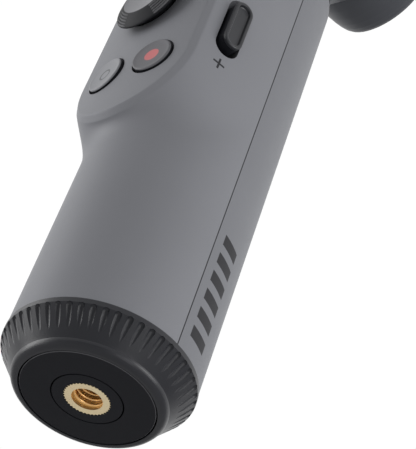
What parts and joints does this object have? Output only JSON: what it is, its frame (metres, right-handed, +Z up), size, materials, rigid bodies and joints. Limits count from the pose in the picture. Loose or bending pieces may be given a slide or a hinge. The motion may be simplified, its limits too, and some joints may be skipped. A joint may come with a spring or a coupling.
{
  "type": "smartphone gimbal",
  "caption": "Handheld smartphone gimbal with a round handle, joystick and button panel, zoom slider, tripod thread, motor-driven pan, roll and tilt arms and a sprung phone clamp.",
  "frame": {"origin": "mouth of the tripod thread, centre of the handle's bottom face", "axes": "+Z up the handle, -Y out of the control panel, +X towards the zoom slider's side"},
  "size_m": [0.0809, 0.1063, 0.2135],
  "materials": {
    "shell_grey": "fine satin moulding texture",
    "button_grey": "satin",
    "ring_black": "satin",
    "disc_black": "fine matte texture",
    "brass_insert": "machined, bright",
    "stick_rubber": "soft matte",
    "slider_black": "satin",
    "motor_dark": "satin paint",
    "cap_dark": "half gloss",
    "clamp_black": "satin",
    "pad_rubber": "soft matte with fine ribs",
    "steel_bright": "turned",
    "core_steel": "laminated",
    "magnet_nickel": "nickel plated",
    "coil_copper": "enamelled wire",
    "board_green": "solder mask",
    "cell_wrap": "shrink wrap"
  },
  "bodies": {
    "handle": {"front_shell": "shell_grey", "rear_shell": "shell_grey", "base_ring": "ring_black", "base_plate": "disc_black", "base_boss": "disc_black", "tripod_insert": "brass_insert", "battery": "cell_wrap", "battery_cradle": "disc_black", "main_board": "board_green", "usb_port": "steel_bright", "key_board": "board_green", "key_switches": "core_steel", "joystick_base": "core_steel", "zoom_switch": "core_steel", "power_switch": "core_steel", "pan_motor_base": "motor_dark", "pan_bearings": "steel_bright", "pan_stator": "core_steel", "pan_coils": "coil_copper"},
    "stick_yoke": {"joystick_yoke": "core_steel"},
    "stick": {"joystick_stem": "steel_bright", "joystick_cap": "stick_rubber"},
    "record": {"record_button": "button_grey"},
    "mode": {"mode_button": "button_grey"},
    "zoom": {"zoom_slider": "slider_black"},
    "power": {"power_button": "slider_black"},
    "pan": {"pan_rotor": "core_steel", "pan_magnets": "magnet_nickel", "pan_arm": "motor_dark", "roll_end_cap": "cap_dark", "roll_bearings": "steel_bright", "roll_stator": "core_steel", "roll_coils": "coil_copper"},
    "roll": {"roll_rotor": "core_steel", "roll_magnets": "magnet_nickel", "roll_arm": "motor_dark", "tilt_end_cap": "cap_dark", "tilt_bearings": "steel_bright", "tilt_stator": "core_steel", "tilt_coils": "coil_copper"},
    "tilt": {"tilt_rotor": "core_steel", "tilt_magnets": "magnet_nickel", "clamp_bracket": "motor_dark"},
    "clamp": {"swivel_pin": "steel_bright", "swivel_washer": "steel_bright", "clamp_body": "clamp_black", "lower_pad": "pad_rubber", "back_pad": "pad_rubber", "clamp_spring": "steel_bright"},
    "jaw": {"upper_jaw": "clamp_black", "upper_pad": "pad_rubber", "guide_rods": "steel_bright"}
  },
  "joints": [
    {"name": "pan_turn", "type": "hinge", "parent": "handle", "child": "pan", "pos_m": [0, 0, 0.1315], "axis": [0, 0, 1], "range_deg": [-165, 165]},
    {"name": "roll_turn", "type": "hinge", "parent": "pan", "child": "roll", "pos_m": [0, 0.0155, 0.1795], "axis": [0, 1, 0], "range_deg": [-45, 90]},
    {"name": "tilt_turn", "type": "hinge", "parent": "roll", "child": "tilt", "pos_m": [-0.038, -0.024, 0.1795], "axis": [1, 0, 0], "range_deg": [-60, 30]},
    {"name": "clamp_swivel", "type": "hinge", "parent": "tilt", "child": "clamp", "pos_m": [0, -0.0404, 0.1795], "axis": [0, 1, 0], "range_deg": [0, 90]},
    {"name": "jaw_slide", "type": "slide", "parent": "clamp", "child": "jaw", "axis": [0, 0, 1], "range_m": [0, 0.03], "stiffness_N_per_m": 250, "springref_m": -0.02, "deforming": ["clamp_spring"]},
    {"name": "stick_tilt_up_down", "type": "hinge", "parent": "handle", "child": "stick_yoke", "pos_m": [0, -0.0154, 0.0961], "axis": [1, 0, 0], "range_deg": [-7, 7], "stiffness_Nm_per_rad": 0.03},
    {"name": "stick_tilt_sideways", "type": "hinge", "parent": "stick_yoke", "child": "stick", "pos_m": [0, -0.0154, 0.0961], "axis": [0, 0, 1], "range_deg": [-7, 7], "stiffness_Nm_per_rad": 0.03},
    {"name": "record_press", "type": "slide", "parent": "handle", "child": "record", "axis": [-0.1167, 0.9932, 0], "range_m": [0, 0.0006], "stiffness_N_per_m": 1200},
    {"name": "mode_press", "type": "slide", "parent": "handle", "child": "mode", "axis": [0.1167, 0.9932, 0], "range_m": [0, 0.0006], "stiffness_N_per_m": 1200},
    {"name": "zoom_slide", "type": "slide", "parent": "handle", "child": "zoom", "axis": [0, 0, 1], "range_m": [-0.0014, 0.0014], "stiffness_N_per_m": 600},
    {"name": "power_press", "type": "slide", "parent": "handle", "child": "power", "axis": [0.9848, 0.1736, 0], "range_m": [0, 0.0006], "stiffness_N_per_m": 1200}
  ]
}
